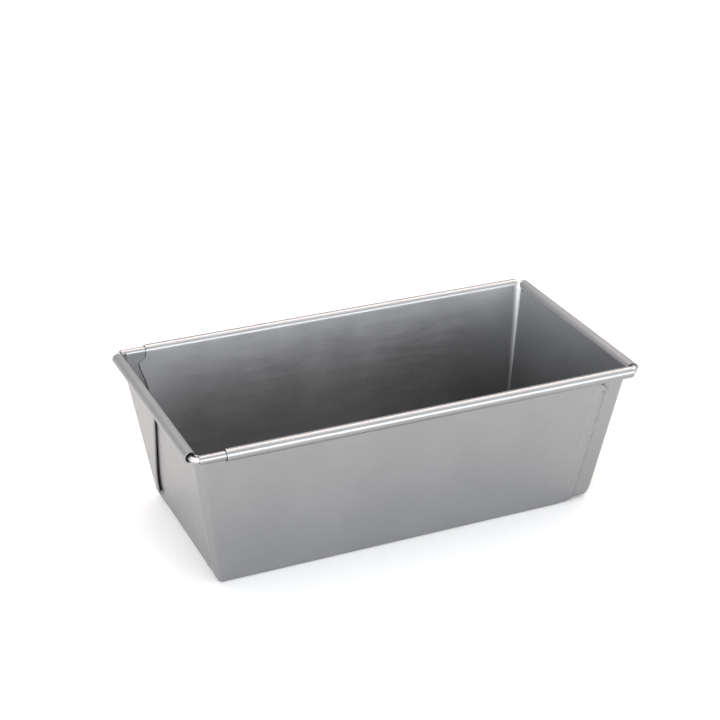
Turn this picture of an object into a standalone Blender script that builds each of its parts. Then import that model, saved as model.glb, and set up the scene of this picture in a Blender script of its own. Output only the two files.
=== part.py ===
"""An extendable loaf pan: two folded sheet steel half pans that telescope along X.

The frame has +Z up and its origin on the table, under the middle of the closed pan. The outer half has its
end wall at -X and stands on the table. The inner half has its end wall at +X, lies inside the outer half,
and its long rims are rolled over the outer half's rims, so that it slides along them towards +X.

Each half is one sheet. Its long sides are modelled once, at -Y, and mirrored. A shell's own length runs
"along" from the middle of the pan towards its end wall, so both halves share one set of functions.
"""
import math

import bmesh
import bpy

MM = 0.001

# Sheet, wires and fits
SHEET = 0.45 * MM
SLIDE_GAP = 0.30 * MM
OUTER_WIRE_RADIUS = 1.25 * MM
INNER_WIRE_RADIUS = 2.00 * MM

# The closed pan
OVERALL_LENGTH = 220.0 * MM
RIM_HALF_WIDTH = 55.0 * MM
RIM_HEIGHT = 71.0 * MM
CORNER_RADIUS = 1.6 * MM
BOTTOM_FILLET = 1.4 * MM
OUTER_BOTTOM_HALF_WIDTH = 42.7 * MM
OUTER_BOTTOM_END = 93.3 * MM
INNER_BOTTOM_HALF_WIDTH = 41.3 * MM
INNER_BOTTOM_END = 94.3 * MM
INNER_LIFT = 1.2 * MM

# Rolled rims, as radii of the sheet's middle round the wire's line
BEAD_RADIUS = OUTER_WIRE_RADIUS + SLIDE_GAP + SHEET / 2
TRACK_RADIUS = BEAD_RADIUS + SHEET + SLIDE_GAP
OUTER_END_ROLL_RADIUS = 2.425 * MM
INNER_END_ROLL_RADIUS = TRACK_RADIUS
BEAD_END_ANGLE = math.radians(-120)
TRACK_END_ANGLE = math.radians(-105)
END_ROLL_END_ANGLE = math.radians(-115)

# Wires
WIRE_BEND_RADIUS = 3.3 * MM
OUTER_WIRE_REACH = 88.5 * MM
INNER_WIRE_LEG_START = 93.5 * MM

# Corner gussets: flaps of doubled sheet, folded flat on the outside of the end wall
GUSSET_THICKNESS = 2 * SHEET
GUSSET_BOTTOM_LEVEL = 4.0 * MM
GUSSET_TOP_LEVEL = 68.0 * MM
GUSSET_CREASE_BOTTOM = 38.0 * MM
GUSSET_CREASE_TOP = 8.5 * MM
GUSSET_CORNER_MARGIN = 0.5 * MM

FILLET_STEPS = 4
CURL_STEPS = 16
CORNER_STEPS = 6
CURL_RELIEF = 0.2 * MM
MERGE = 0.00001


class Shell:
    """The sizes of one half pan, in its own directions: out from the middle, and along to its end wall."""

    def __init__(self, name, end_sign, half_width, bottom_end, lift, side_roll, side_roll_end, end_roll,
                 corner_top, edge_bottom, edge_tab, edge_rim, tab_level, relief_level):
        self.name = name
        self.end_sign = end_sign
        self.side_corner = (half_width - SHEET / 2, lift + SHEET / 2)
        self.end_corner = (bottom_end - SHEET / 2, lift + SHEET / 2)
        self.side_rim = (RIM_HALF_WIDTH, RIM_HEIGHT)
        self.end_rim = (OVERALL_LENGTH / 2 - end_roll - SHEET / 2, RIM_HEIGHT)
        self.side_roll = side_roll
        self.side_roll_end = side_roll_end
        self.end_roll = end_roll
        self.edge_bottom = edge_bottom
        self.edge_tab = edge_tab
        self.edge_rim = edge_rim
        self.levels = (tab_level, relief_level, corner_top)

    def free_edge(self, level):
        """How far past the middle the sheet reaches at a height: a slanted edge, a tab, and a relief at the rim."""
        tab_level, relief_level = self.levels[:2]
        if level >= relief_level:
            return -self.edge_rim
        return -(self.edge_bottom + (self.edge_tab - self.edge_bottom) * level / tab_level)


OUTER = Shell("outer_shell", end_sign=-1, half_width=OUTER_BOTTOM_HALF_WIDTH, bottom_end=OUTER_BOTTOM_END,
              lift=0.0, side_roll=BEAD_RADIUS, side_roll_end=BEAD_END_ANGLE, end_roll=OUTER_END_ROLL_RADIUS,
              corner_top=69.2 * MM, edge_bottom=85.7 * MM, edge_tab=94.0 * MM, edge_rim=89.6 * MM,
              tab_level=64.3 * MM, relief_level=67.4 * MM)
INNER = Shell("inner_shell", end_sign=1, half_width=INNER_BOTTOM_HALF_WIDTH, bottom_end=INNER_BOTTOM_END,
              lift=INNER_LIFT, side_roll=TRACK_RADIUS, side_roll_end=TRACK_END_ANGLE,
              end_roll=INNER_END_ROLL_RADIUS, corner_top=68.7 * MM, edge_bottom=84.2 * MM,
              edge_tab=96.8 * MM, edge_rim=94.0 * MM, tab_level=65.2 * MM, relief_level=68.2 * MM)

# The outer half's free edge: a strip bent in until it almost touches the inner half
STRIP_WIDTH_BOTTOM = 6.0 * MM
STRIP_WIDTH_TOP = 4.5 * MM
HUG_CORNER = (INNER.side_corner[0] + SHEET + SLIDE_GAP, INNER.side_corner[1] - SHEET - SLIDE_GAP)


def clear_scene():
    for item in list(bpy.data.objects):
        bpy.data.objects.remove(item, do_unlink=True)


def new_collection(name):
    collection = bpy.data.collections.new(name)
    bpy.context.scene.collection.children.link(collection)
    return collection


def metal(name, color, roughness):
    material = bpy.data.materials.new(name)
    material.use_nodes = True
    shader = material.node_tree.nodes["Principled BSDF"]
    shader.inputs["Base Color"].default_value = (*color, 1.0)
    shader.inputs["Metallic"].default_value = 1.0
    shader.inputs["Roughness"].default_value = roughness
    return material


def wall_lean(corner, rim, roll):
    """The angle from upright of a straight wall that runs from its bottom corner into its rolled rim."""
    run = rim[0] - corner[0]
    rise = rim[1] - corner[1]
    return math.atan2(run, rise) - math.asin(roll / math.hypot(run, rise))


def wall_out(corner, rim, roll, level):
    """How far out the middle of a wall's sheet is at a height."""
    return corner[0] + (level - corner[1]) * math.tan(wall_lean(corner, rim, roll))


def profile(corner, rim, roll, roll_end, levels):
    """Points (out, up) of the sheet's middle: the bottom fillet, the leaning wall, and the rolled rim."""
    lean = wall_lean(corner, rim, roll)
    inset = BOTTOM_FILLET * math.tan((math.pi / 2 - lean) / 2)
    points = []
    for step in range(FILLET_STEPS + 1):
        turn = (math.pi / 2 - lean) * step / FILLET_STEPS
        points.append((corner[0] - inset + BOTTOM_FILLET * math.sin(turn),
                       corner[1] + BOTTOM_FILLET * (1 - math.cos(turn))))
    for level in levels:
        points.append((wall_out(corner, rim, roll, level), level))
    start = math.pi - lean
    for step in range(CURL_STEPS + 1):
        angle = start + (roll_end - start) * step / CURL_STEPS
        points.append((rim[0] + roll * math.cos(angle), rim[1] + roll * math.sin(angle)))
    return points


def strip_width(level):
    """The bent strip is a little wider at the bottom than at the rim."""
    return STRIP_WIDTH_BOTTOM + (STRIP_WIDTH_TOP - STRIP_WIDTH_BOTTOM) * level / RIM_HEIGHT


def shell_columns(shell):
    """Columns of points (along, out, up), from the free edge round the corner to the middle of the end wall.

    A column has one point for each point of the profile. The corner's columns stop below the rolled rims.
    """
    side = profile(shell.side_corner, shell.side_rim, shell.side_roll, shell.side_roll_end, shell.levels)
    end = profile(shell.end_corner, shell.end_rim, shell.end_roll, END_ROLL_END_ANGLE, shell.levels)
    wall_rows = FILLET_STEPS + 1 + len(shell.levels)
    side_columns = []
    if shell is OUTER:
        hug = profile(HUG_CORNER, shell.side_rim, shell.side_roll, shell.side_roll_end, shell.levels)
        side_columns.append([(shell.free_edge(up), out, up) for out, up in hug])
        side_columns.append([(shell.free_edge(up) + strip_width(up), out, up) for out, up in side])
    else:
        side_columns.append([(shell.free_edge(up), out, up) for out, up in side])
    radii = [CORNER_RADIUS - max(0.0, shell.side_corner[0] - out) for out, up in side]
    relief = []
    for row, (out, up) in enumerate(side):
        last_wall = end[min(row, wall_rows - 1)][0]
        relief.append((last_wall - CORNER_RADIUS - CURL_RELIEF, out, up))
    side_columns.append(relief)
    corner_columns = []
    for step in range(CORNER_STEPS + 1):
        turn = math.pi / 2 * step / CORNER_STEPS
        share = step / CORNER_STEPS
        column = []
        for row in range(wall_rows):
            radius = radii[row]
            column.append((end[row][0] - radius + radius * math.sin(turn),
                           side[row][0] - radius + radius * math.cos(turn),
                           side[row][1] * (1 - share) + end[row][1] * share))
        corner_columns.append(column)
    end_relief = []
    for row, (out, up) in enumerate(end):
        last_wall = side[min(row, wall_rows - 1)][0]
        end_relief.append((out, last_wall - CORNER_RADIUS - CURL_RELIEF, up))
    end_columns = [end_relief, [(out, 0.0, up) for out, up in end]]
    return side_columns, corner_columns, end_columns


def shell_mesh(shell):
    """The front half of a shell's middle surface, open at the plane of symmetry."""
    side_columns, corner_columns, end_columns = shell_columns(shell)
    columns = side_columns + corner_columns + end_columns
    surface = bmesh.new()

    def place(point):
        along, out, up = point
        return surface.verts.new((shell.end_sign * along, -out, up))

    grid = [[place(point) for point in column] for column in columns]
    for left, right in zip(grid, grid[1:]):
        for row in range(min(len(left), len(right)) - 1):
            surface.faces.new((left[row], left[row + 1], right[row + 1], right[row]))
    middle = [place((column[0][0], 0.0, column[0][2])) for column in side_columns]
    last_side = len(side_columns) - 1
    for index in range(last_side):
        surface.faces.new((middle[index], grid[index][0], grid[index + 1][0], middle[index + 1]))
    rest_of_bottom = [column[0] for column in grid[last_side:]]
    surface.faces.new([middle[last_side]] + rest_of_bottom)
    bmesh.ops.recalc_face_normals(surface, faces=surface.faces)
    mesh = bpy.data.meshes.new(shell.name)
    surface.to_mesh(mesh)
    surface.free()
    return mesh


def smooth(item, angle=30):
    item.data.shade_smooth()
    item.data.set_sharp_from_angle(angle=math.radians(angle))


def gusset(shell, side_sign, cutters):
    """One corner's flap: a four-sided plate that rises from the middle of the end wall's sheet."""
    edges = []
    for level in (GUSSET_BOTTOM_LEVEL, GUSSET_TOP_LEVEL):
        side_wall = wall_out(shell.side_corner, shell.side_rim, shell.side_roll, level)
        edges.append(side_wall - CORNER_RADIUS - GUSSET_CORNER_MARGIN)
    outline = ((GUSSET_CREASE_BOTTOM, GUSSET_BOTTOM_LEVEL), (edges[0], GUSSET_BOTTOM_LEVEL),
               (edges[1], GUSSET_TOP_LEVEL), (GUSSET_CREASE_TOP, GUSSET_TOP_LEVEL))
    plate = bmesh.new()
    rings = []
    for height in (0.0, SHEET / 2 + GUSSET_THICKNESS):
        ring = []
        for across, level in outline:
            along = wall_out(shell.end_corner, shell.end_rim, shell.end_roll, level) + height
            ring.append(plate.verts.new((shell.end_sign * along, side_sign * across, level)))
        rings.append(ring)
    plate.faces.new(rings[0])
    plate.faces.new(rings[1])
    for index in range(4):
        following = (index + 1) % 4
        plate.faces.new((rings[0][index], rings[0][following], rings[1][following], rings[1][index]))
    bmesh.ops.recalc_face_normals(plate, faces=plate.faces)
    side_name = "front" if side_sign < 0 else "back"
    mesh = bpy.data.meshes.new(f"{shell.name}_gusset_{side_name}")
    plate.to_mesh(mesh)
    plate.free()
    item = bpy.data.objects.new(mesh.name, mesh)
    item.hide_render = True
    item.display_type = "WIRE"
    cutters.objects.link(item)
    return item


def build_shell(shell, material, parts, cutters):
    """A half pan: the front half mirrored, given its thickness, and joined to its two gussets."""
    item = bpy.data.objects.new(shell.name, shell_mesh(shell))
    item.data.materials.append(material)
    parts.objects.link(item)
    mirror = item.modifiers.new("other_side", "MIRROR")
    mirror.use_axis = (False, True, False)
    mirror.merge_threshold = MERGE
    thickness = item.modifiers.new("sheet", "SOLIDIFY")
    thickness.thickness = SHEET
    thickness.offset = 0.0
    thickness.use_even_offset = True
    for side_sign in (-1, 1):
        join = item.modifiers.new("gusset", "BOOLEAN")
        join.operation = "UNION"
        join.object = gusset(shell, side_sign, cutters)
    smooth(item)
    return item


def wire_route(end_line, leg_end, end_sign):
    """A U in the plane of the rims: two legs and the end, with round bends."""
    points = [(end_sign * leg_end, -RIM_HALF_WIDTH)]
    for side_sign in (-1, 1):
        bend = []
        for step in range(CORNER_STEPS + 1):
            turn = math.pi / 2 * step / CORNER_STEPS
            along = end_line - WIRE_BEND_RADIUS * (1 - math.sin(turn))
            out = RIM_HALF_WIDTH - WIRE_BEND_RADIUS * (1 - math.cos(turn))
            bend.append((end_sign * along, side_sign * out))
        points += bend if side_sign < 0 else bend[::-1]
    points.append((end_sign * leg_end, RIM_HALF_WIDTH))
    return points


def build_wire(name, route, radius, material, parts):
    curve = bpy.data.curves.new(name, "CURVE")
    curve.dimensions = "3D"
    curve.bevel_depth = radius
    curve.bevel_resolution = 2
    curve.use_fill_caps = True
    spline = curve.splines.new("POLY")
    spline.points.add(len(route) - 1)
    for point, (x, y) in zip(spline.points, route):
        point.co = (x, y, RIM_HEIGHT, 1.0)
    curve.materials.append(material)
    item = bpy.data.objects.new(name, curve)
    parts.objects.link(item)
    return item


def slide_empty(parts):
    """The inner half's parent, on the line that it slides along."""
    empty = bpy.data.objects.new("inner_half", None)
    empty.location = (0.0, 0.0, RIM_HEIGHT)
    parts.objects.link(empty)
    return empty


def main():
    clear_scene()
    parts = new_collection("extendable_loaf_pan")
    cutters = new_collection("cutters")
    coated_steel = metal("coated_steel", (0.42, 0.42, 0.43), 0.42)
    wire_steel = metal("wire_steel", (0.62, 0.61, 0.60), 0.25)

    build_shell(OUTER, coated_steel, parts, cutters)
    outer_end_line = OUTER.end_rim[0]
    build_wire("outer_rim_wire", wire_route(outer_end_line, -OUTER_WIRE_REACH, -1), OUTER_WIRE_RADIUS,
               wire_steel, parts)

    slide = slide_empty(parts)
    inner_end_line = INNER.end_rim[0]
    inner_wire = build_wire("inner_rim_wire", wire_route(inner_end_line, INNER_WIRE_LEG_START, 1),
                            INNER_WIRE_RADIUS, wire_steel, parts)
    for item in (build_shell(INNER, coated_steel, parts, cutters), inner_wire):
        item.parent = slide
        item.location = (0.0, 0.0, -RIM_HEIGHT)


main()
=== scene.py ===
"""The looks of an extendable loaf pan: two folded sheet steel half pans and the two wires in their rims.

Each half is one sheet. "Along" runs from the pan's middle towards the half's own end wall, "out" runs from
the plane of symmetry towards a long side, and "up" is +Z. A half's front side is modelled at -Y and
mirrored.
"""
import math

import bmesh
import bpy
from mathutils import Matrix, Vector


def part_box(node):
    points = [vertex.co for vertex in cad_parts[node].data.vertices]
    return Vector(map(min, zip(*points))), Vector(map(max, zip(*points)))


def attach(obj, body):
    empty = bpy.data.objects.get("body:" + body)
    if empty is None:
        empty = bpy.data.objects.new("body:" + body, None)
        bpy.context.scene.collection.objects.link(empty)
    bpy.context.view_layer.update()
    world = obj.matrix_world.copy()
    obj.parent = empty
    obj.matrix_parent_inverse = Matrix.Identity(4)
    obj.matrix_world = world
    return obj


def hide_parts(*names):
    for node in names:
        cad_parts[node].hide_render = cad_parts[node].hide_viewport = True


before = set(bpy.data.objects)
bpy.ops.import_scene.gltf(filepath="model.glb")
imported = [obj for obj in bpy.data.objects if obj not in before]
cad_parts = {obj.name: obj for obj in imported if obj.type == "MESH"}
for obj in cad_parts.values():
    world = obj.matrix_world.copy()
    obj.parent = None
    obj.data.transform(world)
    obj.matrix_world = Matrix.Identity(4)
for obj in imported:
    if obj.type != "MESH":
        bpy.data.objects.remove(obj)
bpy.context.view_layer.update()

MM = 0.001

# Sheet and fits
SHEET = 0.45 * MM
SLIDE_GAP = 0.30 * MM
BOTTOM_FILLET = 1.4 * MM
BROKEN_EDGE = 0.08 * MM

# Corner folds: the outer ply turns at a free crease and comes back to a hairpin in the corner
PLY_PITCH = 0.55 * MM
HAIRPIN_INSET = 0.70 * MM
CORNER_RADIUS_LOW = 1.7 * MM
CORNER_RADIUS_HIGH = 4.4 * MM
CORNER_PEAK = 0.9 * MM
FOLD_STARTS = 3.4 * MM
FOLD_CLOSES = 6.0 * MM
PROUD_BY = 4.5 * MM
CREASE_POINT = (30.0 * MM, 24.3 * MM)
CREASE_SLOPE = -0.553
CREASE_LIMIT = 34.6 * MM
CREASE_SOFTNESS = 2.5 * MM
PLY_LEAD = 0.4 * MM
PLY_GROWTH = 4.0 * MM
GAPE_LOW = 0.80 * MM
GAPE_HIGH = 0.35 * MM
GAPE_RISE = 50 * MM
GAPE_TOP = 1 * MM
GAPE_FADE = 9 * MM
SMALL_STEP = 0.06 * MM

# Numbers of steps in the surface
FILLET_STEPS = 6
ARC_STEPS = 10
PLY_STEPS = 8
TURN_STEPS = 8
ROLL_STEPS = 36
SIDE_STEPS = 46
END_STEPS = 18
FOLD_TIP = ARC_STEPS + PLY_STEPS + TURN_STEPS / 2

# Heights between the straight's rows
FINE_ROW = 0.3 * MM
COARSE_ROW = 3.0 * MM
ROW_GROWTH = 0.15
FINE_ROWS_PAST_FOLD = 1 * MM
EDGE_ROW_CLEARANCE = 0.25 * MM
TAB_ROW_CLEARANCE = 0.15 * MM
TAB_ROWS = [(61.0 + 0.3 * step) * MM for step in range(23)]

# Where the sheet is rubbed, and how much; last, how much shade is painted along the outer half's bent strip
EDGE_WEAR = 0.9 * MM
LIP_WEAR = 0.8
LIP_ROWS = 2
CORNER_WEAR = 0.45
CORNER_WEAR_RISE = 4 * MM
# Painted shade along the outer half's bent strip at its free edge, where the gap's shadow falls
PAINTED_SHADE = 2.0


def smooth_step(value):
    value = min(1.0, max(0.0, value))
    return value * value * (3 - 2 * value)


def mix(low, high, share):
    return low + (high - low) * share


def along_line(points, level):
    """The second coordinate of a line of (level, value) points, at a level."""
    if level <= points[0][0]:
        return points[0][1]
    for (low, low_value), (high, high_value) in zip(points, points[1:]):
        if level <= high:
            return mix(low_value, high_value, (level - low) / (high - low))
    return points[-1][1]


class Wall:
    """A wall's middle surface, seen end-on: a bottom fillet, a leaning straight, and a rolled rim."""

    def __init__(self, corner, rim, roll, lip):
        self.corner = corner
        self.rim = rim
        self.roll = roll
        self.lip = lip
        run = rim[0] - corner[0]
        rise = rim[1] - corner[1]
        self.lean = math.atan2(run, rise) - math.asin(roll / math.hypot(run, rise))

    def out(self, level):
        return self.corner[0] + (level - self.corner[1]) * math.tan(self.lean)

    def rows(self, levels):
        """Points (out, up) of the fillet, then of the straight at these levels, then of the roll."""
        upright = math.pi / 2 - self.lean
        inset = BOTTOM_FILLET * math.tan(upright / 2)
        points = []
        for step in range(FILLET_STEPS + 1):
            turn = upright * step / FILLET_STEPS
            points.append((self.corner[0] - inset + BOTTOM_FILLET * math.sin(turn),
                           self.corner[1] + BOTTOM_FILLET * (1 - math.cos(turn))))
        points += [(self.out(level), level) for level in levels]
        start = math.pi - self.lean
        for step in range(ROLL_STEPS + 1):
            angle = mix(start, self.lip, step / ROLL_STEPS)
            points.append((self.rim[0] + self.roll * math.cos(angle),
                           self.rim[1] + self.roll * math.sin(angle)))
        return points


class Half:
    """The sizes of one half pan. Its rims' places come from its wire's box."""

    def __init__(self, kind, sign, half_width, bottom_end, lift, edge, rim_edge, corner_top,
                 side_roll, side_lip, end_roll, end_lip, side_cut, end_cut):
        self.kind = kind
        self.sign = sign
        self.wire_node = kind + "_rim_wire"
        low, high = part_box(self.wire_node)
        self.wire_radius = (high.z - low.z) / 2
        self.rim_height = (high.z + low.z) / 2
        self.rim_half_width = high.y - self.wire_radius
        self.end_line = (high.x if sign > 0 else -low.x) - self.wire_radius
        self.lift = lift
        self.edge = edge
        self.rim_edge = rim_edge
        self.corner_top = corner_top
        self.corner_peak = self.rim_height + CORNER_PEAK
        self.side_cut = side_cut
        self.end_cut = end_cut
        middle = lift + SHEET / 2
        side_rim = (self.rim_half_width, self.rim_height)
        end_rim = (self.end_line, self.rim_height)
        self.side = Wall((half_width - SHEET / 2, middle), side_rim, side_roll, side_lip)
        self.end = Wall((bottom_end - SHEET / 2, middle), end_rim, end_roll, end_lip)

    def levels(self):
        """Heights of the straight's rows: close together at the fold's foot, at the free edge's corners and
        on the outer half's tab.
        """
        found = {self.corner_top}
        level = self.lift + FOLD_STARTS
        while level < self.corner_top:
            found.add(level)
            above = level - self.lift
            near_fold = above < FOLD_CLOSES + FINE_ROWS_PAST_FOLD
            level += FINE_ROW if near_fold else min(COARSE_ROW, ROW_GROWTH * above)
        for key, _ in self.edge:
            if self.lift + FOLD_STARTS < key < self.corner_top:
                found = {level for level in found if abs(level - key) > EDGE_ROW_CLEARANCE} | {key}
        tab = TAB_ROWS if self.kind == "outer" else ()
        found |= {level for level in tab if min(abs(level - other) for other in found) > TAB_ROW_CLEARANCE}
        return sorted(found)


# The long rims: the outer half's bead round its wire, and the inner half's track round that bead
BEAD_RADIUS = 1.25 * MM + SLIDE_GAP + SHEET / 2
TRACK_RADIUS = BEAD_RADIUS + SHEET + SLIDE_GAP

OUTER = Half(
    "outer", -1, half_width=42.7 * MM, bottom_end=93.3 * MM, lift=0.0,
    edge=((0.0, 83.6 * MM), (1.3 * MM, 84.7 * MM), (3.4 * MM, 86.4 * MM), (61.7 * MM, 93.9 * MM),
          (62.6 * MM, 94.6 * MM), (63.7 * MM, 94.3 * MM), (66.9 * MM, 89.7 * MM)),
    rim_edge=89.6 * MM, corner_top=70.6 * MM,
    side_roll=BEAD_RADIUS, side_lip=math.radians(-120), end_roll=2.425 * MM, end_lip=math.radians(-105),
    side_cut=(104.6 * MM, 105.0 * MM), end_cut=(50.8 * MM, 51.4 * MM))
INNER = Half(
    "inner", 1, half_width=41.3 * MM, bottom_end=94.3 * MM, lift=1.2 * MM,
    edge=((1.2 * MM, 84.6 * MM), (57.4 * MM, 94.6 * MM), (63.2 * MM, 96.6 * MM), (66.7 * MM, 97.2 * MM),
          (68.6 * MM, 93.6 * MM)),
    rim_edge=93.0 * MM, corner_top=69.8 * MM,
    side_roll=TRACK_RADIUS, side_lip=math.radians(-105), end_roll=2.525 * MM, end_lip=math.radians(-105),
    side_cut=(103.6 * MM, 104.8 * MM), end_cut=(51.6 * MM, 52.6 * MM))

# The outer half's free edge: a strip bent in until it almost touches the inner half
STRIP_WIDTH_LOW = 6.0 * MM
STRIP_WIDTH_HIGH = 4.7 * MM
STRIP_SOFTNESS = 0.4 * MM
STRIP_STEP = 0.6
STRIP_CURL = 2.4 * MM
STRIP_CURL_SHARE = 0.5
STRIP_RIDGE = 0.40 * MM
STRIP_TOP = 61.9 * MM
STRIP_FADE = 0.45 * MM
STRIP_GAP = 0.10 * MM
STRIP_RISE = 0.5
HUG_CORNER = (INNER.side.corner[0] + SHEET + STRIP_GAP, INNER.side.corner[1] - SHEET - STRIP_GAP)

# The inner half's free edge stands off the outer half's wall, and the outer half's tab off the inner half's
EDGE_STANDOFF = 1.4 * MM
EDGE_STANDOFF_REACH = 60.0 * MM
EDGE_STANDOFF_FADE = 45.0 * MM
TAB_STANDOFF = 1.3 * MM
TAB_ROOT = 90.5 * MM
TAB_LENGTH = 4.0 * MM
TAB_TOP = 67.0 * MM
TAB_FADE = 2.0 * MM
STANDOFF_RISE = 6 * MM

# A slit parts the bent strip from the tab above it
SLIT = (61.8 * MM, 62.3 * MM)
SLIT_END = 90.6 * MM
SLIT_STEP = 0.01 * MM


def crease_at(above):
    """Where the free crease lies: a leaning line that bends upright near the foot."""
    line = CREASE_POINT[1] + CREASE_SLOPE * (above - CREASE_POINT[0])
    return line - CREASE_SOFTNESS * math.log1p(math.exp((line - CREASE_LIMIT) / CREASE_SOFTNESS))


def fold_row(half, side_out, end_along, up, radius):
    """One row of the corner, as points (along, out): round the corner, over the outer ply to the free
    crease, back along the inner ply to the hairpin, and round it to the end wall. At the foot the fold
    shuts to nothing.
    """
    above = up - half.lift
    proud = 2 * PLY_PITCH * smooth_step(above / PROUD_BY)
    turned = math.pi * smooth_step((above - FOLD_STARTS) / (FOLD_CLOSES - FOLD_STARTS))
    crease = crease_at(above)
    bend = PLY_PITCH / 2
    corner_end = side_out - radius
    outer_ply = max(SMALL_STEP * 4, corner_end - bend - crease)
    arc_out = math.sqrt(max(0.0, (2 * radius - PLY_PITCH) * PLY_PITCH))
    hairpin = corner_end + max(0.0, arc_out - HAIRPIN_INSET)
    inner_ply = max(0.0, hairpin - 2 * bend - (corner_end - outer_ply - bend))
    inner_ply *= smooth_step((above - FOLD_CLOSES + PLY_LEAD) / PLY_GROWTH)
    steps = [(0.0, outer_ply / PLY_STEPS)] * PLY_STEPS
    turn_length = max(bend * turned / TURN_STEPS, SMALL_STEP)
    steps += [(turned * (step + 0.5) / TURN_STEPS, turn_length) for step in range(TURN_STEPS)]
    steps += [(turned, (inner_ply + SMALL_STEP) / PLY_STEPS)] * PLY_STEPS
    steps += [(turned * (1 - (step + 0.5) / TURN_STEPS), turn_length) for step in range(TURN_STEPS)]
    reach = sum(length * math.sin(angle) for angle, length in steps)
    shut = proud - reach
    points = []
    for step in range(ARC_STEPS + 1):
        turn = math.pi / 2 * step / ARC_STEPS
        points.append((end_along + proud - radius + radius * math.sin(turn),
                       corner_end + radius * math.cos(turn)))
    along = end_along + reach
    out = corner_end
    gape = mix(GAPE_LOW, GAPE_HIGH, min(1.0, above / GAPE_RISE)) * (turned / math.pi) ** 4
    gape *= smooth_step((half.corner_top + GAPE_TOP - up) / GAPE_FADE)
    tip = corner_end - outer_ply - bend
    for index, (angle, length) in enumerate(steps):
        along -= length * math.sin(angle)
        out -= length * math.cos(angle)
        across = smooth_step((corner_end - out) / (corner_end - tip))
        on_flap = index < len(steps) - TURN_STEPS
        lift_off = shut * (1 - across) + (gape * across if on_flap else 0.0)
        points.append((along + lift_off, out))
    return points


def strip_width(half, up):
    return mix(STRIP_WIDTH_LOW, STRIP_WIDTH_HIGH, up / half.rim_height)


def strip_factor(distance, up):
    """How far the outer half's edge strip is bent in: 1 at the free edge, 0 past the crease and on the tab.
    It steps in at the crease, slopes from there on, and curls in at the free edge.
    """
    width = strip_width(OUTER, up)
    past = width - distance
    stepped = smooth_step((past + STRIP_SOFTNESS) / (2 * STRIP_SOFTNESS))
    sloped = max(0.0, past) / width
    curled = max(0.0, 1 - distance / STRIP_CURL) ** 2
    bent = mix(mix(sloped, stepped, STRIP_STEP), curled, STRIP_CURL_SHARE)
    return bent * smooth_step((STRIP_TOP + STRIP_FADE - up) / STRIP_FADE)


def standoff(half, distance, up, along):
    """How far a side wall leaves its plane near its free edge: inwards on the inner half, and outwards on
    the outer half, on its tab and along the low ridge beside its bent strip.
    """
    if half is INNER:
        below_rim = smooth_step((half.corner_top - up) / EDGE_STANDOFF_FADE)
        return -EDGE_STANDOFF * below_rim * max(0.0, 1 - distance / EDGE_STANDOFF_REACH) ** 2
    on_tab = smooth_step((up - STRIP_TOP) / STRIP_FADE)
    tab = on_tab * smooth_step((TAB_TOP - up) / TAB_FADE)
    width = strip_width(half, up)
    ridge = smooth_step(distance / STRIP_CURL) * smooth_step((width - distance) / (width - STRIP_CURL))
    tab *= smooth_step((-along - TAB_ROOT) / TAB_LENGTH)
    return TAB_STANDOFF * tab + STRIP_RIDGE * ridge * (1 - on_tab)


def edge_distances(width):
    """Distances from a free edge at which the side wall has columns, before the even ones."""
    soft = STRIP_SOFTNESS
    near = [STRIP_CURL * part for part in (0.0, 0.17, 0.34, 0.52, 0.75, 1.0)]
    crease = [width + soft * part for part in (-1.0, -0.7, -0.4, -0.15, 0.15, 0.4, 0.7, 1.0)]
    return near + [(STRIP_CURL + width - soft) / 2] + crease


def roll_cut(cut, step):
    """Where a rim roll ends at the corner: its start, at the wall, and its outer side may end apart."""
    return mix(cut[0], cut[1], smooth_step(1.6 * step / ROLL_STEPS))


def edge_wear_and_painted_light(half, distance, width, is_rolled, is_lip):
    """Wear of a side wall near its free edge. Below the outer half's roll it is painted light instead: a
    painted highlight along the strip's crease, and painted shade, below 0, along the bent strip at the free
    edge.
    """
    if half is INNER or is_rolled:
        return max(0.0, 1 - distance / EDGE_WEAR, LIP_WEAR * is_lip)
    # Painted highlight along the strip's crease
    painted_crease_highlight = abs(distance - width) < STRIP_SOFTNESS
    # Painted shade, below 0, along the bent strip at the free edge
    return 1.0 * painted_crease_highlight - PAINTED_SHADE * max(0.0, 1 - distance / STRIP_CURL)


def side_wall(half, side_rows, hug_rows, folds):
    """The side wall's columns, from its free edge to the corner. The rows past the folds' are the roll."""
    wall_rows = len(folds)
    columns = [[] for _ in range(SIDE_STEPS + 1 + len(edge_distances(STRIP_WIDTH_LOW)))]
    for row, (out, up) in enumerate(side_rows):
        is_rolled = row >= wall_rows
        is_lip = row >= len(side_rows) - LIP_ROWS
        if is_rolled:
            start = -half.rim_edge
            finish = roll_cut(half.side_cut, row - wall_rows)
        else:
            start = -along_line(half.edge, up)
            finish = folds[row][0][0]
        width = strip_width(half, up)
        distances = edge_distances(width)
        last = distances[-1]
        shares = [(step + 1) / (SIDE_STEPS + 1) for step in range(SIDE_STEPS + 1)]
        distances += [mix(last, finish - start, share) for share in shares]
        is_slit = half is OUTER and not is_rolled and SLIT[0] < up < SLIT[1]
        for index, (column, distance) in enumerate(zip(columns, distances)):
            along = start + distance
            if is_slit:
                along = max(along, -SLIT_END + SLIT_STEP * index)
            bent = strip_factor(distance, up) if half is OUTER and not is_rolled else 0.0
            away = 0.0
            if not is_rolled:
                rise = smooth_step((up - half.lift) / STANDOFF_RISE)
                away = standoff(half, distance, up, along) * rise
            hug_out, hug_up = hug_rows[row]
            column.append((along, mix(out, hug_out, bent) + away, mix(up, hug_up, bent * STRIP_RISE),
                           edge_wear_and_painted_light(half, distance, width, is_rolled, is_lip)))
    return columns


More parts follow.
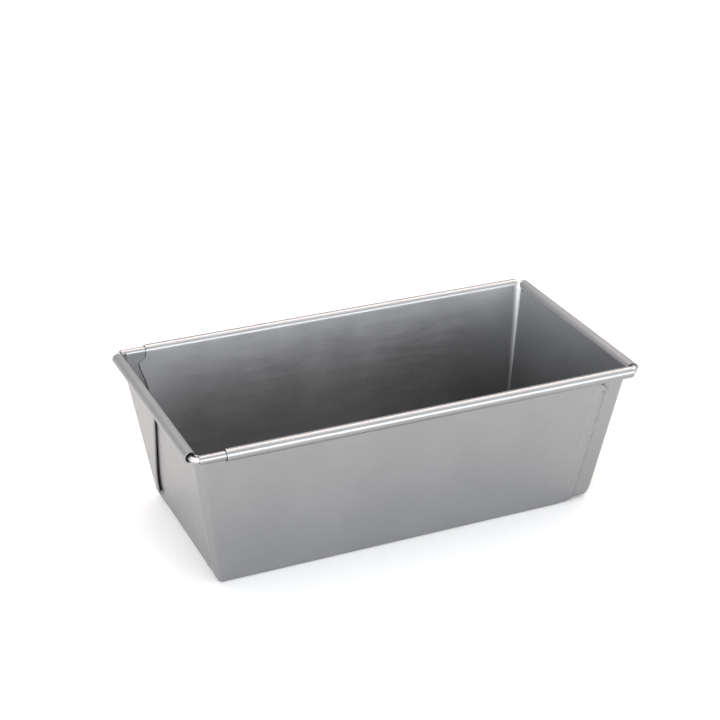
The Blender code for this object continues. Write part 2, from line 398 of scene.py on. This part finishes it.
def corner_fold(half, side_rows, end_rows, folds):
    """The corner's columns: the arc round it, up to the rims, and the folded plies."""
    top_out = half.side.out(half.corner_peak)
    top_along = half.end.out(half.corner_peak)
    peak = fold_row(half, top_out, top_along, half.corner_peak, CORNER_RADIUS_HIGH)
    columns = []
    for index in range(1, len(peak)):
        column = []
        round_corner = min(1.0, index / ARC_STEPS)
        from_tip = abs(index - FOLD_TIP) / (TURN_STEPS / 2)
        surface_mark = max(CORNER_WEAR * math.sin(math.pi * round_corner), 1 - from_tip, 0.0)
        for fold, (_, side_up), (_, end_up) in zip(folds, side_rows, end_rows):
            up = mix(side_up, end_up, round_corner)
            column.append((*fold[index], up, surface_mark * smooth_step((up - half.lift) / CORNER_WEAR_RISE)))
        if index <= ARC_STEPS:
            column.append((*peak[index], half.corner_peak, 1.0))
        columns.append(column)
    return columns


def end_wall(half, end_rows, last_fold, wall_rows):
    """The end wall's columns, from the last fold to the plane of symmetry."""
    columns = [[] for _ in range(END_STEPS)]
    for row, (along, up) in enumerate(end_rows):
        is_rolled = row >= wall_rows
        start = roll_cut(half.end_cut, row - wall_rows) if is_rolled else last_fold[row][1]
        wear_and_painted_light = LIP_WEAR if row >= len(end_rows) - LIP_ROWS else 0.0
        for index, column in enumerate(columns):
            share = index / (END_STEPS - 1) if is_rolled else (index + 1) / END_STEPS
            column.append((along, start * (1 - share), up, wear_and_painted_light))
    return columns


def shell_columns(half):
    """Columns of points (along, out, up, wear and painted light): the side wall, then the corner's fold,
    then the end wall.
    Wear is 1 where handling and sliding rub the sheet most: its free edges, its lips and the folds' tips.
    Below the outer half's roll, its side wall gets painted light in this value instead: a painted highlight,
    1, along the strip's crease, and painted shade, below 0, along the bent strip at its free edge.
    """
    levels = half.levels()
    side_rows = half.side.rows(levels)
    end_rows = half.end.rows(levels)
    hug_rows = Wall(HUG_CORNER, half.side.rim, half.side.roll, half.side.lip).rows(levels)
    wall_rows = FILLET_STEPS + 1 + len(levels)
    folds = []
    for (out, up), (end_along, _) in zip(side_rows[:wall_rows], end_rows):
        inset = max(0.0, half.side.corner[0] - out)
        radius = mix(CORNER_RADIUS_LOW, CORNER_RADIUS_HIGH, up / half.rim_height) - inset
        folds.append(fold_row(half, out, end_along, up, radius))
    side = side_wall(half, side_rows, hug_rows, folds)
    fold = corner_fold(half, side_rows, end_rows, folds)
    end = end_wall(half, end_rows, fold[-1], wall_rows)
    return side, fold + end, wall_rows


def shell_mesh(half, name):
    """The front half of a shell's middle surface, open at the plane of symmetry."""
    side_columns, other_columns, wall_rows = shell_columns(half)
    surface = bmesh.new()
    # This value holds wear and, on the outer half's edge strip, painted shade and a painted highlight
    wear_and_painted_light = surface.verts.layers.float.new("wear_and_painted_light")

    def place(point):
        along, out, up, surface_mark = point
        vertex = surface.verts.new((half.sign * along, -out, up))
        vertex[wear_and_painted_light] = surface_mark
        return vertex

    grid = [[place(point) for point in column] for column in side_columns + other_columns]
    last_side = len(side_columns) - 1
    for index, (left, right) in enumerate(zip(grid, grid[1:])):
        shared = wall_rows if index == last_side else min(len(left), len(right))
        for row in range(shared - 1):
            surface.faces.new((left[row], left[row + 1], right[row + 1], right[row]))
    middle = []
    for column in side_columns:
        along, _, up, surface_mark = column[0]
        middle.append(place((along, 0.0, up, surface_mark)))
    for index in range(last_side):
        surface.faces.new((middle[index], grid[index][0], grid[index + 1][0], middle[index + 1]))
    surface.faces.new([middle[last_side]] + [column[0] for column in grid[last_side:]])
    bmesh.ops.recalc_face_normals(surface, faces=surface.faces)
    mesh = bpy.data.meshes.new(name)
    surface.to_mesh(mesh)
    surface.free()
    mesh.shade_smooth()
    return mesh


def build_shell(half, material):
    """A half pan's sheet: mirrored, given its thickness, and its cut edges broken."""
    name = half.kind + "_sheet"
    piece = bpy.data.objects.new(name, shell_mesh(half, name))
    piece.data.materials.append(material)
    bpy.context.scene.collection.objects.link(piece)
    mirror = piece.modifiers.new("other_side", "MIRROR")
    mirror.use_axis = (False, True, False)
    mirror.merge_threshold = 0.01 * MM
    thickness = piece.modifiers.new("sheet", "SOLIDIFY")
    thickness.thickness = SHEET
    thickness.offset = 0.0
    edges = piece.modifiers.new("broken_edges", "BEVEL")
    edges.width = BROKEN_EDGE
    edges.segments = 2
    edges.limit_method = "ANGLE"
    edges.angle_limit = math.radians(50)
    normals = piece.modifiers.new("normals", "WEIGHTED_NORMAL")
    normals.keep_sharp = True
    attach(piece, half.kind + "_half")
    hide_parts(half.kind + "_shell")


WIRE_BEND_RADIUS = 3.3 * MM
WIRE_BEND_STEPS = 16
WIRE_SIDES = 8


def build_wire(half, leg_end, material):
    """A rim wire: a U in the plane of the rims, with round bends, its legs inside the long rims."""
    leg = [(leg_end, half.rim_half_width)]
    for step in range(WIRE_BEND_STEPS + 1):
        turn = math.pi / 2 * step / WIRE_BEND_STEPS
        leg.append((half.end_line - WIRE_BEND_RADIUS * (1 - math.sin(turn)),
                    half.rim_half_width - WIRE_BEND_RADIUS * (1 - math.cos(turn))))
    front = [(half.sign * along, -out) for along, out in leg]
    back = [(half.sign * along, out) for along, out in leg]
    points = front + back[::-1]
    curve = bpy.data.curves.new(half.kind + "_wire", "CURVE")
    curve.dimensions = "3D"
    curve.bevel_depth = half.wire_radius
    curve.bevel_resolution = WIRE_SIDES
    curve.use_fill_caps = True
    spline = curve.splines.new("POLY")
    spline.points.add(len(points) - 1)
    for point, (x, y) in zip(spline.points, points):
        point.co = (x, y, half.rim_height, 1.0)
    spline.use_smooth = True
    curve.materials.append(material)
    piece = bpy.data.objects.new(half.kind + "_wire", curve)
    bpy.context.scene.collection.objects.link(piece)
    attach(piece, half.kind + "_half")
    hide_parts(half.wire_node)


class Graph:
    """Short calls for a material's nodes."""

    def __init__(self, name):
        self.material = bpy.data.materials.new(name)
        self.material.use_nodes = True
        self.nodes = self.material.node_tree.nodes
        self.links = self.material.node_tree.links
        self.shader = self.nodes["Principled BSDF"]
        self.place = self.nodes.new("ShaderNodeTexCoord").outputs["Object"]

    def stretched(self, scale):
        mapping = self.nodes.new("ShaderNodeMapping")
        mapping.inputs["Scale"].default_value = scale
        self.links.new(self.place, mapping.inputs["Vector"])
        return mapping.outputs["Vector"]

    def noise(self, size, detail=3.0, distortion=0.0, place=None):
        """Noise whose blobs are about this size in metres."""
        node = self.nodes.new("ShaderNodeTexNoise")
        node.inputs["Scale"].default_value = 1.0 / size
        node.inputs["Detail"].default_value = detail
        node.inputs["Distortion"].default_value = distortion
        self.links.new(place or self.place, node.inputs["Vector"])
        return node.outputs["Fac"]

    def ramp(self, value, low, high, out_low, out_high):
        """A value between low and high, eased into one between out_low and out_high."""
        node = self.nodes.new("ShaderNodeMapRange")
        node.interpolation_type = "SMOOTHSTEP"
        self.links.new(value, node.inputs["Value"])
        node.inputs["From Min"].default_value = low
        node.inputs["From Max"].default_value = high
        node.inputs["To Min"].default_value = out_low
        node.inputs["To Max"].default_value = out_high
        return node.outputs["Result"]

    def math(self, operation, left, right):
        node = self.nodes.new("ShaderNodeMath")
        node.operation = operation
        for socket, value in zip(node.inputs, (left, right)):
            if isinstance(value, (int, float)):
                socket.default_value = value
            else:
                self.links.new(value, socket)
        return node.outputs["Value"]

    def sum(self, *parts):
        total = parts[0]
        for part in parts[1:]:
            total = self.math("ADD", total, part)
        return total

    def times(self, value, factor):
        return self.math("MULTIPLY", value, factor)

    def axis(self, name):
        node = self.nodes.new("ShaderNodeSeparateXYZ")
        self.links.new(self.place, node.inputs["Vector"])
        return node.outputs[name]

    def attribute(self, name):
        node = self.nodes.new("ShaderNodeAttribute")
        node.attribute_name = name
        return node.outputs["Fac"]

    def color(self, base, factor):
        """A base colour scaled by a value that varies over the surface."""
        node = self.nodes.new("ShaderNodeMix")
        node.data_type = "RGBA"
        node.blend_type = "MULTIPLY"
        node.inputs["Factor"].default_value = 1.0
        node.inputs["A"].default_value = (*base, 1.0)
        self.links.new(factor, node.inputs["B"])
        self.links.new(node.outputs["Result"], self.shader.inputs["Base Color"])

    def roughness(self, value):
        self.links.new(value, self.shader.inputs["Roughness"])

    def bump(self, height, depth):
        node = self.nodes.new("ShaderNodeBump")
        node.inputs["Strength"].default_value = 1.0
        node.inputs["Distance"].default_value = depth
        self.links.new(height, node.inputs["Height"])
        self.links.new(node.outputs["Normal"], self.shader.inputs["Normal"])


def make_coated_steel():
    """Satin steel sheet: a fine speckle, cloudy patches, smudges, faint rubbed streaks, wear along edges and
    folds, painted shade along the outer half's free edge and a painted highlight along its crease, and long
    rims polished by sliding.
    """
    graph = Graph("coated_steel")
    graph.shader.inputs["Metallic"].default_value = 1.0
    speckle = graph.noise(0.45 * MM, detail=2.0)
    cloud = graph.noise(26 * MM, detail=4.0, distortion=0.6)
    smudge = graph.noise(9 * MM, detail=5.0, distortion=1.2)
    streak = graph.noise(1.2 * MM, detail=3.0, place=graph.stretched((0.06, 1.0, 0.5)))
    # The wear value also carries painted light on the outer half's edge strip: painted shade below 0 and a
    # painted highlight along the crease, both through the tone below
    wear_and_painted_light_share = graph.times(graph.attribute("wear_and_painted_light"), graph.ramp(smudge, 0.3, 0.6, 0.35, 1.0))
    tone = graph.sum(graph.ramp(speckle, 0.3, 0.7, 0.955, 1.015),
                     graph.ramp(cloud, 0.3, 0.7, -0.02, 0.02),
                     graph.ramp(smudge, 0.45, 0.75, 0.0, -0.015),
                     graph.times(wear_and_painted_light_share, 0.12))
    graph.color((0.276, 0.278, 0.284), tone)
    from_middle = graph.math("ABSOLUTE", graph.axis("Y"), 0.0)
    on_long_rim = graph.times(graph.ramp(from_middle, 51.5 * MM, 53.5 * MM, 0.0, 1.0),
                              graph.ramp(graph.axis("Z"), 67.0 * MM, 69.0 * MM, 0.0, 1.0))
    graph.roughness(graph.sum(graph.ramp(cloud, 0.3, 0.7, 0.37, 0.40),
                              graph.ramp(smudge, 0.4, 0.8, 0.0, 0.03),
                              graph.ramp(streak, 0.35, 0.65, -0.015, 0.015),
                              graph.times(wear_and_painted_light_share, -0.08),
                              graph.times(on_long_rim, -0.07)))
    graph.bump(graph.sum(graph.times(speckle, 0.35),
                         smudge,
                         graph.times(cloud, 2.5),
                         graph.times(streak, 0.25)), 0.02 * MM)
    return graph.material


def make_wire_steel():
    """Drawn wire: brighter, with fine drawing lines and a few dull patches."""
    graph = Graph("wire_steel")
    graph.shader.inputs["Metallic"].default_value = 1.0
    lines = graph.noise(0.25 * MM, detail=2.0, place=graph.stretched((0.25, 1.0, 1.0)))
    patch = graph.noise(3.5 * MM, detail=3.0)
    graph.color((0.47, 0.465, 0.46), graph.ramp(patch, 0.3, 0.7, 0.9, 1.05))
    graph.roughness(graph.sum(graph.ramp(patch, 0.35, 0.7, 0.26, 0.36),
                              graph.ramp(lines, 0.3, 0.7, -0.02, 0.02)))
    graph.bump(lines, 0.008 * MM)
    return graph.material


CAMERA_PLACE = Vector((-307.1, -668.2, 432.3)) * MM
CAMERA_YAW = math.radians(24.18)
CAMERA_PITCH = math.radians(26.07)
CAMERA_ROLL = math.radians(0.38)
LENS = 88.55
SENSOR = 36.0


def add_camera():
    """The camera looks down at the pan from in front of its left end."""
    data = bpy.data.cameras.new("camera")
    data.sensor_width = SENSOR
    data.lens = LENS
    camera = bpy.data.objects.new("camera", data)
    bpy.context.scene.collection.objects.link(camera)
    camera.location = CAMERA_PLACE
    turned = Matrix.Rotation(-CAMERA_YAW, 3, "Z") @ Matrix.Rotation(math.pi / 2 - CAMERA_PITCH, 3, "X")
    camera.rotation_euler = (turned @ Matrix.Rotation(CAMERA_ROLL, 3, "Z")).to_euler()
    bpy.context.scene.camera = camera


FLOOR_SIZE = 3.2
FLOOR_GREY = 0.66


def add_stage():
    """A plain pale floor."""
    bpy.ops.mesh.primitive_plane_add(size=FLOOR_SIZE)
    floor = bpy.context.object
    floor.name = "floor"
    material = bpy.data.materials.new("floor")
    material.use_nodes = True
    shader = material.node_tree.nodes["Principled BSDF"]
    shader.inputs["Base Color"].default_value = (FLOOR_GREY, FLOOR_GREY, FLOOR_GREY, 1)
    shader.inputs["Roughness"].default_value = 0.8
    floor.data.materials.append(material)


ROOM_COLOR = (0.985, 0.99, 1.0, 1)
ROOM_STRENGTH = 1.03

# Each softbox: its name, its place, the point it faces, its length and width, its radiance and its colour
SOFTBOXES = [
    ("overhead", (0.4, 0.10, 1.7), (0.4, 0.10, 0.0), (3.4, 1.9), 1.3, (1.0, 1.0, 1.0)),
    ("warm_strip", (0.55, 0.55, 1.25), (0.55, 0.55, 0.0), (2.4, 0.5), 4.5, (1.0, 0.80, 0.68)),
    ("front_strip", (0.55, -1.13, 0.85), (0.0, 0.0, 0.06), (2.0, 0.34), 0.8, (1.0, 0.98, 0.96)),
    ("front_bank", (-0.3, -2.4, 0.65), (-0.3, 0.0, 0.5), (5.2, 1.3), 4.1, (0.97, 0.985, 1.0)),
    ("left_bank", (-2.2, -1.3, 0.6), (0.0, 0.0, 0.07), (2.8, 1.1), 7.0, (0.96, 0.98, 1.0)),
]


def add_softbox(name, place, aim, size, radiance, color):
    """A rectangular softbox, its long side level, facing a point."""
    data = bpy.data.lights.new(name, "AREA")
    data.shape = "RECTANGLE"
    data.size, data.size_y = size
    data.energy = radiance * math.pi * size[0] * size[1]
    data.color = color
    lamp = bpy.data.objects.new(name, data)
    lamp.location = place
    lamp.rotation_euler = (Vector(aim) - Vector(place)).to_track_quat("-Z", "Y").to_euler()
    bpy.context.scene.collection.objects.link(lamp)


def add_light():
    """Soft studio light: a pale room, a broad softbox overhead with a warm strip under it, a narrow strip
    and a wide bank in front, and a bank at the left.
    """
    world = bpy.data.worlds.new("studio")
    bpy.context.scene.world = world
    world.use_nodes = True
    background = world.node_tree.nodes["Background"]
    background.inputs["Color"].default_value = ROOM_COLOR
    background.inputs["Strength"].default_value = ROOM_STRENGTH
    for softbox in SOFTBOXES:
        add_softbox(*softbox)
    bpy.context.scene.view_settings.view_transform = "Standard"


# Where the wires' legs end inside the long rims, from the pan's middle towards each half's own end wall
OUTER_LEG_END = -88.5 * MM
INNER_LEG_END = 93.5 * MM

coated_steel = make_coated_steel()
wire_steel = make_wire_steel()
build_shell(OUTER, coated_steel)
build_shell(INNER, coated_steel)
build_wire(OUTER, OUTER_LEG_END, wire_steel)
build_wire(INNER, INNER_LEG_END, wire_steel)
add_camera()
add_stage()
add_light()
